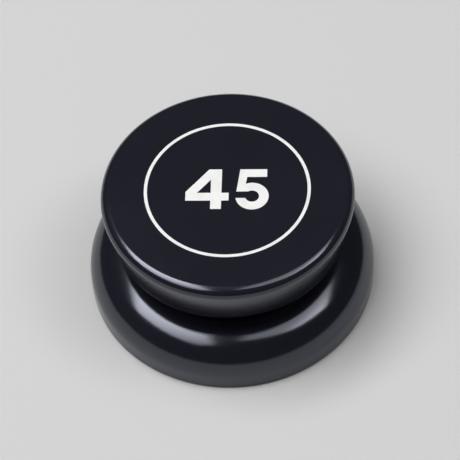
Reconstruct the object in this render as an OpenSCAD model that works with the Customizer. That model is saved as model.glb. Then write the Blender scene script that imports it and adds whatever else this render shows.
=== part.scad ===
// Record spindle adapter: a puck that fills the large centre hole of a 45 rpm single.
// A turned aluminium body, with a brass core that is fitted from below and bored for the spindle.
// Millimetres, +Z up, origin at the centre of the underside.

/* [Record and spindle] */
// Diameter of the record's large centre hole
record_hole_d = 38.2; // [36:0.1:42]
// Clearance of the base in that hole, across the diameter
record_clearance = 0.2; // [0.1:0.05:0.5]
// Diameter of the turntable's spindle
spindle_d = 7.15; // [7:0.01:7.3]
// Clearance of the bore on the spindle, across the diameter
spindle_clearance = 0.05; // [0.05:0.05:0.3]

/* [Body] */
// Height from the underside to the top face
body_h = 18; // [17:0.1:25]
// Height of the straight wall of the base
base_wall = 2.3; // [1:0.1:4]
// Radius of the rounded shoulder that leads the record down to the base
shoulder_r = 5; // [3:0.1:5.8]
// Bevel round the foot of the base
foot_bevel = 0.3; // [0.1:0.05:0.6]

/* [Cap] */
// Largest diameter of the cap, just below its top edge
cap_d = 33; // [31.5:0.1:36]
// Diameter of the cap at its lower edge
cap_low_d = 31; // [29:0.1:31.4]
// Radius of the rounded top edge
top_edge_r = 1.2; // [0.5:0.1:2.5]
// Radius of the rounded lower edge
low_edge_r = 0.4; // [0.2:0.05:0.8]

/* [Finger groove] */
// Diameter of the neck at the bottom of the groove
neck_d = 23; // [22:0.1:26]
// Clear height of the groove, from the shoulder up to the cap
groove_h = 3.7; // [2.5:0.1:4.5]
// Radius of the two rounded corners of the groove
groove_corner_r = 0.6; // [0.2:0.05:1]

/* [Underside] */
// Width of the ring that the adapter stands on
foot_ring_w = 2.5; // [1.5:0.1:4]
// Depth of the turned relief inside that ring
relief_depth = 0.4; // [0.2:0.05:1]
// Radius of the corner of the relief
relief_corner_r = 0.25; // [0.1:0.05:0.5]
// Bevel round the mouth of the core's pocket
pocket_bevel = 0.3; // [0.1:0.05:0.6]

/* [Core] */
// Diameter of the brass core
core_d = 19; // [16:0.1:21]
// Gap round the core, filled by the bonding
core_gap = 0.02; // [0.01:0.01:0.1]
// Depth of the core's lower face inside the mouth of its pocket
core_setback = 0.2; // [0.05:0.05:0.6]
// Bevel on the outer edges of the core
core_bevel = 0.4; // [0.2:0.05:0.8]
// Lead-in bevel at the mouth of the bore
bore_lead = 0.8; // [0.3:0.1:1.5]
// Thickness of the aluminium above the core
roof_t = 3; // [2:0.1:6]

/* [Hidden] */
$fn = 180;

// Most that the flats of a rounded corner may cut inside its true arc
arc_error = 0.002;
// Reach of a cut past the face that it opens
over = 1;

base_r = (record_hole_d - record_clearance) / 2;
cap_r = cap_d / 2;
cap_low_r = cap_low_d / 2;
neck_r = neck_d / 2;
core_r = core_d / 2;
bore_r = (spindle_d + spindle_clearance) / 2;

// Top of the shoulder, where the finger groove starts
shoulder_top = base_wall + shoulder_r;
// Lower face of the cap
cap_z = shoulder_top + groove_h;
// Inner edge of the ring that the adapter stands on
relief_r = base_r - foot_bevel - foot_ring_w;
// Pocket that holds the core
pocket_r = core_r + core_gap;
pocket_top = body_h - roof_t;
core_bottom = relief_depth + core_setback;

// Points of an arc about [x, z] from angle a0 to angle a1, as many as arc_error asks for
function arc(x, z, r, a0, a1) =
    let (steps = ceil(abs(a1 - a0) / (2 * acos(1 - arc_error / r))))
    [for (i = [0 : steps])
        let (a = a0 + (a1 - a0) * i / steps)
        [x + r * cos(a), z + r * sin(a)]];

// The cap's side is the straight line that touches both of its rounded edges
top_edge = [cap_r - top_edge_r, body_h - top_edge_r];
low_edge = [cap_low_r - low_edge_r, cap_z + low_edge_r];
edge_span = top_edge - low_edge;
side_normal = atan2(edge_span[1], edge_span[0]) - acos((low_edge_r - top_edge_r) / norm(edge_span));

// Half section of the body's outside, from the foot up to the top face
function body_outline() = concat(
    [[0, 0], [base_r - foot_bevel, 0], [base_r, foot_bevel]],
    arc(base_r - shoulder_r, base_wall, shoulder_r, 0, 90),
    arc(neck_r + groove_corner_r, shoulder_top + groove_corner_r, groove_corner_r, 270, 180),
    arc(neck_r + groove_corner_r, cap_z - groove_corner_r, groove_corner_r, 180, 90),
    arc(low_edge[0], low_edge[1], low_edge_r, -90, side_normal),
    arc(top_edge[0], top_edge[1], top_edge_r, side_normal, 90),
    [[0, body_h]]
);

// Half section of what is cut from below: the shallow relief, then the pocket
function underside_outline() = concat(
    [[0, -over], [relief_r, -over]],
    arc(relief_r - relief_corner_r, relief_depth - relief_corner_r, relief_corner_r, 0, 90),
    [[pocket_r + pocket_bevel, relief_depth], [pocket_r, relief_depth + pocket_bevel]],
    [[pocket_r, pocket_top], [0, pocket_top]]
);

// Black anodised aluminium, turned in one piece
module body() {
    color("#1b1c22")
    difference() {
        rotate_extrude() polygon(body_outline());
        rotate_extrude() polygon(underside_outline());
    }
}

// Half section of the core's wall, from the bore out to its bevelled rim
function core_outline() = [
    [bore_r + bore_lead, core_bottom],
    [core_r - core_bevel, core_bottom],
    [core_r, core_bottom + core_bevel],
    [core_r, pocket_top - core_bevel],
    [core_r - core_bevel, pocket_top],
    [bore_r, pocket_top],
    [bore_r, core_bottom + bore_lead]
];

// Turned brass, bonded into the pocket and seated against its roof
module brass_core() {
    color("#b89248")
    rotate_extrude() polygon(core_outline());
}

body();
brass_core();
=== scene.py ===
# A record spindle adapter: the puck that fills the large centre hole of a 45 rpm single.
# Metres, +Z up, origin at the centre of the underside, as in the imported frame.
import bmesh
import bpy
import math
from mathutils import Matrix, Vector


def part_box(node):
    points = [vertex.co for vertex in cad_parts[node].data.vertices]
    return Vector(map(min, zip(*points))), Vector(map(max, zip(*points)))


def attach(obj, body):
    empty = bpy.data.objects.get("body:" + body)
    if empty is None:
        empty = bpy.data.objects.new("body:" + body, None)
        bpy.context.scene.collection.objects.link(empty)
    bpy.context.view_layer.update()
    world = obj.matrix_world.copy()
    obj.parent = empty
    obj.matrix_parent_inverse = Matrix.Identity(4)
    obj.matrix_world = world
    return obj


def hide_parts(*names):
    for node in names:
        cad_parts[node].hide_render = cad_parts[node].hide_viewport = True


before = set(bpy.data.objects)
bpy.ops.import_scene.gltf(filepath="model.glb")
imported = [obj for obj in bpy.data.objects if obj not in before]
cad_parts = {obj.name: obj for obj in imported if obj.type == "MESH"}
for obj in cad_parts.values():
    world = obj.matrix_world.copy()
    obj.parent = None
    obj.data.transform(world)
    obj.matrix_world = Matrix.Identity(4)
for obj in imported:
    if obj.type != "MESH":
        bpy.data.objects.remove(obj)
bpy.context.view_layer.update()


# Body
# The puck itself, turned from one aluminium bar: base ring, rounded shoulder, finger groove and cap.
# The lathe rounds its corners, and it is then lightly blasted and black anodised all over.
mm = 0.001
body_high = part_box("body")[1]
core_low, core_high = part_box("brass_core")

base_r = body_high.x
# The print is the highest thing on the part, so the metal ends just below it
print_t = 0.02 * mm
body_top = body_high.z - print_t
foot_bevel = 0.3 * mm
base_wall = 2.3 * mm
shoulder_r = 5.0 * mm
neck_r = 11.5 * mm
groove_corner_r = 0.6 * mm
groove_h = 3.7 * mm
cap_r = 16.5 * mm
cap_low_r = 15.5 * mm
top_edge_r = 1.2 * mm
low_edge_r = 0.4 * mm
foot_ring_w = 2.5 * mm
relief_depth = 0.4 * mm
relief_corner_r = 0.25 * mm
pocket_bevel = 0.3 * mm
core_gap = 0.02 * mm

# Width of the flat ring kept beside each rounded corner, so that the flats shade as flats
flat_lip = 0.04 * mm
arc_step = math.radians(3)
body_sides = 288
sharp_angle = math.radians(25)


def arc(x, z, r, start, end):
    """Points (radius, height) of an arc about (x, z), from one angle to another, in degrees."""
    start, end = math.radians(start), math.radians(end)
    steps = math.ceil(abs(end - start) / arc_step)
    angles = [start + (end - start) * i / steps for i in range(steps + 1)]
    return [(x + r * math.cos(a), z + r * math.sin(a)) for a in angles]


def turned(name, outline, sides, closed):
    """Mesh object of an outline of (radius, height) points turned about Z. A closed outline is a ring's
    whole section, and an open one starts and ends on the axis."""
    bm = bmesh.new()
    rings = []
    for r, z in outline:
        if r < 1e-9:
            rings.append([bm.verts.new((0, 0, z))] * sides)
        else:
            turns = [2 * math.pi * i / sides for i in range(sides)]
            rings.append([bm.verts.new((r * math.cos(t), r * math.sin(t), z)) for t in turns])
    pairs = list(zip(rings, rings[1:]))
    if closed:
        pairs.append((rings[-1], rings[0]))
    for low, high in pairs:
        for i in range(sides):
            j = (i + 1) % sides
            corners = [low[i], low[j], high[j], high[i]]
            bm.faces.new(list(dict.fromkeys(corners)))
    bmesh.ops.recalc_face_normals(bm, faces=bm.faces)
    mesh = bpy.data.meshes.new(name)
    bm.to_mesh(mesh)
    bm.free()
    mesh.shade_smooth()
    mesh.set_sharp_from_angle(angle=sharp_angle)
    piece = bpy.data.objects.new(name, mesh)
    bpy.context.scene.collection.objects.link(piece)
    return piece


shoulder_top = base_wall + shoulder_r
cap_z = shoulder_top + groove_h
relief_r = base_r - foot_bevel - foot_ring_w
pocket_r = core_high.x + core_gap
pocket_top = core_high.z

# The cap's side is the straight line that touches both of its rounded edges
top_edge = Vector((cap_r - top_edge_r, body_top - top_edge_r))
low_edge = Vector((cap_low_r - low_edge_r, cap_z + low_edge_r))
edge_span = top_edge - low_edge
side_normal = math.degrees(
    math.atan2(edge_span.y, edge_span.x) - math.acos((low_edge_r - top_edge_r) / edge_span.length)
)

body_outline = [
    (0, pocket_top),
    (pocket_r, pocket_top),
    (pocket_r, relief_depth + pocket_bevel),
    (pocket_r + pocket_bevel, relief_depth),
    *arc(relief_r - relief_corner_r, relief_depth - relief_corner_r, relief_corner_r, 90, 0),
    (relief_r, 0),
    (base_r - foot_bevel, 0),
    (base_r, foot_bevel),
    (base_r, base_wall - flat_lip),
    *arc(base_r - shoulder_r, base_wall, shoulder_r, 0, 90),
    (base_r - shoulder_r - flat_lip, shoulder_top),
    *arc(neck_r + groove_corner_r, shoulder_top + groove_corner_r, groove_corner_r, 270, 180),
    *arc(neck_r + groove_corner_r, cap_z - groove_corner_r, groove_corner_r, 180, 90),
    *arc(low_edge.x, low_edge.y, low_edge_r, -90, side_normal),
    *arc(top_edge.x, top_edge.y, top_edge_r, side_normal, 90),
    (top_edge.x - flat_lip, body_top),
    (0, body_top),
]
body = turned("body_shell", body_outline, body_sides, closed=False)

black = (0.0066, 0.0070, 0.0122, 1)
black_speck = (0.0122, 0.0127, 0.0190, 1)
# The clear oxide film gives a stronger and slightly bluer reflection than a paint does
film_ior = 1.7
film_tint = (0.82, 0.86, 1.0, 1)
satin_low = 0.115
satin_high = 0.165
blast_size = 0.12 * mm
blast_depth = 0.0024 * mm
tool_pitch = 0.16 * mm
tool_depth = 0.0030 * mm


def node(tree, kind, place, **settings):
    """A shader node at that place in the tree, with its settings."""
    made = tree.nodes.new(kind)
    made.location = place
    for key, value in settings.items():
        setattr(made, key, value)
    return made


def group(name, inputs, outputs):
    """A shader node group with named float inputs, as {name: default}, and named float outputs."""
    tree = bpy.data.node_groups.new(name, "ShaderNodeTree")
    for label, default in inputs.items():
        socket = tree.interface.new_socket(label, in_out="INPUT", socket_type="NodeSocketFloat")
        socket.default_value = default
    for label in outputs:
        tree.interface.new_socket(label, in_out="OUTPUT", socket_type="NodeSocketFloat")
    return tree, node(tree, "NodeGroupInput", (-900, 0)), node(tree, "NodeGroupOutput", (700, 0))


def blasted_grain():
    """Fine even grain of a blasted or printed surface: Height, and Cloud, a slow change over it."""
    sizes = {"Grain Size": 0.1 * mm, "Cloud Size": 10 * mm}
    tree, given, made = group("blasted_grain", sizes, ("Height", "Cloud"))
    link = tree.links.new
    where = node(tree, "ShaderNodeTexCoord", (-900, 300))
    layers = (("Grain Size", "Height", 200, 2.0), ("Cloud Size", "Cloud", -200, 3.0))
    for label, out, y, detail in layers:
        per_metre = node(tree, "ShaderNodeMath", (-600, y), operation="DIVIDE")
        per_metre.inputs[0].default_value = 1
        link(given.outputs[label], per_metre.inputs[1])
        noise = node(tree, "ShaderNodeTexNoise", (-300, y))
        noise.inputs["Detail"].default_value = detail
        link(where.outputs["Object"], noise.inputs["Vector"])
        link(per_metre.outputs[0], noise.inputs["Scale"])
        link(noise.outputs["Fac"], made.inputs[out])
    return tree


def turning_marks():
    """Rings that a lathe tool leaves round the Z axis: Height, for a tool that moves by Pitch a turn."""
    tree, given, made = group("turning_marks", {"Pitch": 0.1 * mm}, ("Height",))
    link = tree.links.new
    where = node(tree, "ShaderNodeTexCoord", (-900, 300))
    flat = node(tree, "ShaderNodeVectorMath", (-700, 300), operation="MULTIPLY")
    flat.inputs[1].default_value = (1, 1, 0)
    link(where.outputs["Object"], flat.inputs[0])
    radius = node(tree, "ShaderNodeVectorMath", (-500, 300), operation="LENGTH")
    link(flat.outputs[0], radius.inputs[0])
    split = node(tree, "ShaderNodeSeparateXYZ", (-500, 100))
    link(where.outputs["Object"], split.inputs[0])
    along = node(tree, "ShaderNodeMath", (-300, 200), operation="SUBTRACT")
    link(radius.outputs["Value"], along.inputs[0])
    link(split.outputs["Z"], along.inputs[1])
    turns = node(tree, "ShaderNodeMath", (-100, 200), operation="DIVIDE")
    link(along.outputs[0], turns.inputs[0])
    link(given.outputs["Pitch"], turns.inputs[1])
    noise = node(tree, "ShaderNodeTexNoise", (200, 200), noise_dimensions="1D")
    noise.inputs["Scale"].default_value = 1
    noise.inputs["Detail"].default_value = 2
    link(turns.outputs[0], noise.inputs["W"])
    link(noise.outputs["Fac"], made.inputs["Height"])
    return tree


def material(name):
    """A new material with its node tree, its Principled shader and a function that links two sockets."""
    made = bpy.data.materials.new(name)
    made.use_nodes = True
    tree = made.node_tree
    return made, tree, tree.nodes["Principled BSDF"], tree.links.new


def use(tree, shared, place, **values):
    """A shared group placed in a material, with its own values for the inputs."""
    placed = node(tree, "ShaderNodeGroup", place, node_tree=shared)
    for label, value in values.items():
        placed.inputs[label.replace("_", " ")].default_value = value
    return placed


def spread(tree, place, source, low, high, out_low, out_high):
    """The socket's value, taken from low..high to out_low..out_high."""
    made = node(tree, "ShaderNodeMapRange", place)
    labels = ("From Min", "From Max", "To Min", "To Max")
    for label, value in zip(labels, (low, high, out_low, out_high)):
        made.inputs[label].default_value = value
    tree.links.new(source, made.inputs["Value"])
    return made.outputs["Result"]


def tint(tree, place, factor, first, second):
    """A colour between first and second by factor."""
    made = node(tree, "ShaderNodeMix", place, data_type="RGBA")
    colours = [socket for socket in made.inputs if socket.type == "RGBA"]
    colours[0].default_value = first
    colours[1].default_value = second
    tree.links.new(factor, made.inputs["Factor"])
    return [socket for socket in made.outputs if socket.type == "RGBA"][0]


def raised(tree, place, height, depth, under=None):
    """A bump of that depth, in metres, over the normal of another bump if one is given."""
    made = node(tree, "ShaderNodeBump", place)
    made.inputs["Strength"].default_value = 1
    made.inputs["Distance"].default_value = depth
    tree.links.new(height, made.inputs["Height"])
    if under:
        tree.links.new(under, made.inputs["Normal"])
    return made.outputs["Normal"]


grain_group = blasted_grain()
marks_group = turning_marks()

anodised, tree, shader, link = material("black_anodised")
shader.inputs["IOR"].default_value = film_ior
shader.inputs["Specular Tint"].default_value = film_tint
grain = use(tree, grain_group, (-900, 0), Grain_Size=blast_size, Cloud_Size=7 * mm)
marks = use(tree, marks_group, (-900, -300), Pitch=tool_pitch)
specks = spread(tree, (-650, 300), grain.outputs["Height"], 0.3, 0.7, 0, 1)
link(tint(tree, (-400, 300), specks, black, black_speck), shader.inputs["Base Color"])
satin = spread(tree, (-400, 0), grain.outputs["Cloud"], 0.3, 0.7, satin_low, satin_high)
link(satin, shader.inputs["Roughness"])
turned_normal = raised(tree, (-600, -300), marks.outputs["Height"], tool_depth)
blasted_normal = raised(tree, (-400, -300), grain.outputs["Height"], blast_depth, turned_normal)
link(blasted_normal, shader.inputs["Normal"])
body.data.materials.append(anodised)

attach(body, "root")
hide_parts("body")


# Brass core
# A heavy ring of turned brass, bonded into the pocket from below, and bored to slide on the spindle.
# It is left bare, so its faces show the lathe's rings and a light brown tarnish.
bore_r = 3.6 * mm
core_r = core_high.x
core_bevel = 0.4 * mm
bore_lead = 0.8 * mm
core_sides = 192
core_outline = [
    (bore_r + bore_lead, core_low.z),
    (core_r - core_bevel, core_low.z),
    (core_r, core_low.z + core_bevel),
    (core_r, core_high.z - core_bevel),
    (core_r - core_bevel, core_high.z),
    (bore_r, core_high.z),
    (bore_r, core_low.z + bore_lead),
]
core = turned("core_ring", core_outline, core_sides, closed=True)

brass_bright = (0.74, 0.52, 0.22, 1)
brass_tarnished = (0.60, 0.40, 0.16, 1)
bare_pitch = 0.11 * mm
bare_depth = 0.004 * mm
bare_grain_size = 0.05 * mm
bare_grain_depth = 0.0005 * mm
bare_smooth = 0.24
bare_dull = 0.38
brass, tree, shader, link = material("bare_brass")
shader.inputs["Metallic"].default_value = 1
grain = use(tree, grain_group, (-900, 0), Grain_Size=bare_grain_size, Cloud_Size=9 * mm)
marks = use(tree, marks_group, (-900, -300), Pitch=bare_pitch)
tarnish = spread(tree, (-650, 300), grain.outputs["Cloud"], 0.3, 0.8, 0, 1)
link(tint(tree, (-400, 300), tarnish, brass_bright, brass_tarnished), shader.inputs["Base Color"])
polish = spread(tree, (-400, 0), grain.outputs["Cloud"], 0.3, 0.7, bare_smooth, bare_dull)
link(polish, shader.inputs["Roughness"])
turned_normal = raised(tree, (-600, -300), marks.outputs["Height"], bare_depth)
bare_normal = raised(tree, (-400, -300), grain.outputs["Height"], bare_grain_depth, turned_normal)
link(bare_normal, shader.inputs["Normal"])
core.data.materials.append(brass)

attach(core, "root")
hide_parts("brass_core")


# White print
# The playing speed in plain numerals inside one thin ring, screen printed on the cap's flat top.
# The ink is a film a fiftieth of a millimetre thick, with edges that round off as it dries.
ring_r = 10.6 * mm
ring_w = 0.42 * mm
ring_sides = 180
numeral_h = 6.4 * mm
numeral_gap = 0.62 * mm
# Depth of the ink's lower face in the metal, and radius of its dried edge
ink_sunk = 0.2 * print_t
ink_edge = 0.3 * print_t


def spot(x, y):
    """A point of a numeral, whose sizes are given in millimetres."""
    return (x * mm, y * mm)


four_w = 5.6 * mm
four_outline = [
    spot(3.25, 0),
    spot(4.65, 0),
    spot(4.65, 1.35),
    spot(5.60, 1.35),
    spot(5.60, 2.60),
    spot(4.65, 2.60),
    spot(4.65, 6.40),
    spot(3.00, 6.40),
    spot(0.00, 2.75),
    spot(0.00, 1.35),
    spot(3.25, 1.35),
]
four_counter = [spot(3.25, 2.60), spot(3.25, 4.75), spot(1.48, 2.60)]

bowl = (2.40 * mm, 2.05 * mm)
bowl_out = 2.15 * mm
bowl_in = 0.90 * mm
five_w = bowl[0] + bowl_out
five_outline = [
    spot(4.30, 6.40),
    spot(0.80, 6.40),
    spot(0.35, 2.80),
    *arc(*bowl, bowl_in, 123.6, -160.5),
    *arc(*bowl, bowl_out, -172, 113.3),
    spot(1.72, 5.15),
    spot(4.30, 5.15),
]


def circle(r):
    """The points of a circle about the axis."""
    turns = [2 * math.pi * i / ring_sides for i in range(ring_sides)]
    return [(r * math.cos(t), r * math.sin(t)) for t in turns]


def moved(outline, x, y):
    """An outline moved by x and y."""
    return [(px + x, py + y) for px, py in outline]


def ink(name, outlines, low, high, edge):
    """Mesh object of flat ink between two heights, filled between its outlines, with rounded edges."""
    curve = bpy.data.curves.new(name, "CURVE")
    curve.dimensions = "2D"
    curve.fill_mode = "BOTH"
    curve.bevel_depth = edge
    curve.bevel_resolution = 1
    curve.offset = -edge
    curve.extrude = (high - low) / 2 - edge
    for outline in outlines:
        line = curve.splines.new("POLY")
        line.points.add(len(outline) - 1)
        for point, (x, y) in zip(line.points, outline):
            point.co = (x, y, 0, 1)
        line.use_cyclic_u = True
    drawn = bpy.data.objects.new(name, curve)
    mesh = bpy.data.meshes.new_from_object(drawn)
    mesh.name = name
    bpy.data.objects.remove(drawn)
    bpy.data.curves.remove(curve)
    for vertex in mesh.vertices:
        vertex.co.z += (low + high) / 2
    piece = bpy.data.objects.new(name, mesh)
    bpy.context.scene.collection.objects.link(piece)
    return piece


line_w = four_w + numeral_gap + five_w
four_x = -line_w / 2
five_x = four_x + four_w + numeral_gap
numeral_y = -numeral_h / 2
numerals = ink(
    "numerals",
    [
        circle(ring_r + ring_w / 2),
        circle(ring_r - ring_w / 2),
        moved(four_outline, four_x, numeral_y),
        moved(four_counter, four_x, numeral_y),
        moved(five_outline, five_x, numeral_y),
    ],
    body_top - ink_sunk,
    body_top + print_t,
    ink_edge,
)

white = (0.80, 0.80, 0.79, 1)
white_thin = (0.70, 0.70, 0.70, 1)
ink_grain_size = 0.12 * mm
ink_grain_depth = 0.002 * mm
ink_smooth = 0.42
ink_dull = 0.56
ink_white, tree, shader, link = material("white_ink")
grain = use(tree, grain_group, (-900, 0), Grain_Size=ink_grain_size, Cloud_Size=1.6 * mm)
thin = spread(tree, (-650, 300), grain.outputs["Cloud"], 0.45, 0.8, 0, 1)
link(tint(tree, (-400, 300), thin, white, white_thin), shader.inputs["Base Color"])
sheen = spread(tree, (-400, 0), grain.outputs["Height"], 0.3, 0.7, ink_smooth, ink_dull)
link(sheen, shader.inputs["Roughness"])
link(raised(tree, (-400, -300), grain.outputs["Height"], ink_grain_depth), shader.inputs["Normal"])
numerals.data.materials.append(ink_white)

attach(numerals, "root")


# Floor
# A wide sheet of pale matt paper that the adapter stands on, and that its shadow falls on.
# It reaches far past the edges of the picture.
floor_size = 6.0
floor_mesh = bpy.data.meshes.new("floor")
half = floor_size / 2
floor_corners = [(-half, -half, 0), (half, -half, 0), (half, half, 0), (-half, half, 0)]
floor_mesh.from_pydata(floor_corners, [], [(0, 1, 2, 3)])
floor = bpy.data.objects.new("floor", floor_mesh)
bpy.context.scene.collection.objects.link(floor)
paper, tree, shader, link = material("pale_sheet")
shader.inputs["Base Color"].default_value = (0.58, 0.58, 0.58, 1)
shader.inputs["Roughness"].default_value = 0.85
shader.inputs["Specular IOR Level"].default_value = 0.2
floor.data.materials.append(paper)


# Light
# Two flat diffusers hang over the adapter with a dark gap between them, the left one larger.
# Each has its lamp off centre behind it, so it glows more towards one side. The room is nearly dark.
panel_height = 1.0


def softbox(name, corners, axis, dim, bright):
    """A glowing panel at panel_height. Its radiance grows along an axis, from dim to bright, and each
    of the two is a (place, radiance)."""
    mesh = bpy.data.meshes.new(name)
    mesh.from_pydata([(x, y, panel_height) for x, y in corners], [], [tuple(range(len(corners)))])
    panel = bpy.data.objects.new(name, mesh)
    bpy.context.scene.collection.objects.link(panel)
    glow = bpy.data.materials.new(name)
    glow.use_nodes = True
    tree = glow.node_tree
    tree.nodes.clear()
    where = node(tree, "ShaderNodeTexCoord", (-800, 0))
    split = node(tree, "ShaderNodeSeparateXYZ", (-600, 0))
    tree.links.new(where.outputs["Object"], split.inputs[0])
    radiance = spread(tree, (-400, 0), split.outputs[axis], dim[0], bright[0], dim[1], bright[1])
    light = node(tree, "ShaderNodeEmission", (-200, 0))
    tree.links.new(radiance, light.inputs["Strength"])
    tree.links.new(light.outputs[0], node(tree, "ShaderNodeOutputMaterial", (0, 0)).inputs["Surface"])
    mesh.materials.append(glow)


left_corners = [
    (-1.00, -0.02),
    (-0.78, -0.36),
    (-0.44, -0.78),
    (-0.20, -0.58),
    (-0.13, 0.44),
    (-0.42, 0.46),
]
right_corners = [
    (0.05, -0.34),
    (0.60, -0.34),
    (0.96, -0.04),
    (0.44, 0.42),
    (0.05, 0.32),
]
softbox("softbox_left", left_corners, "Y", (-0.92, 0), (0.46, 10.5))
softbox("softbox_right", right_corners, "X", (0.36, 2.1), (0.96, 8.0))

world = bpy.data.worlds.new("studio")
bpy.context.scene.world = world
world.use_nodes = True
room = world.node_tree.nodes["Background"]
room.inputs["Color"].default_value = (0.045, 0.045, 0.048, 1)
room.inputs["Strength"].default_value = 1


# Camera
# It looks down at the adapter from the photograph's place, and swings round to bring it to the middle.
eye = Vector((0.0161, -0.1986, 0.2815))
photo_line = Vector((-0.0027, 0.5489, -0.8359))
photo_up = Vector((0.0018, 0.8359, 0.5489))
aim = Vector((0, 0, 0.0090))
lens = 200
swing = photo_line.rotation_difference(aim - eye)
forward = (aim - eye).normalized()
up = (swing @ photo_up).normalized()
right = forward.cross(up).normalized()
up = right.cross(forward)
camera_data = bpy.data.cameras.new("camera")
camera_data.lens = lens
camera_data.sensor_width = 36
camera = bpy.data.objects.new("camera", camera_data)
camera.matrix_world = Matrix((
    (right.x, up.x, -forward.x, eye.x),
    (right.y, up.y, -forward.y, eye.y),
    (right.z, up.z, -forward.z, eye.z),
    (0, 0, 0, 1),
))
bpy.context.scene.collection.objects.link(camera)
bpy.context.scene.camera = camera
bpy.context.scene.view_settings.view_transform = "Standard"
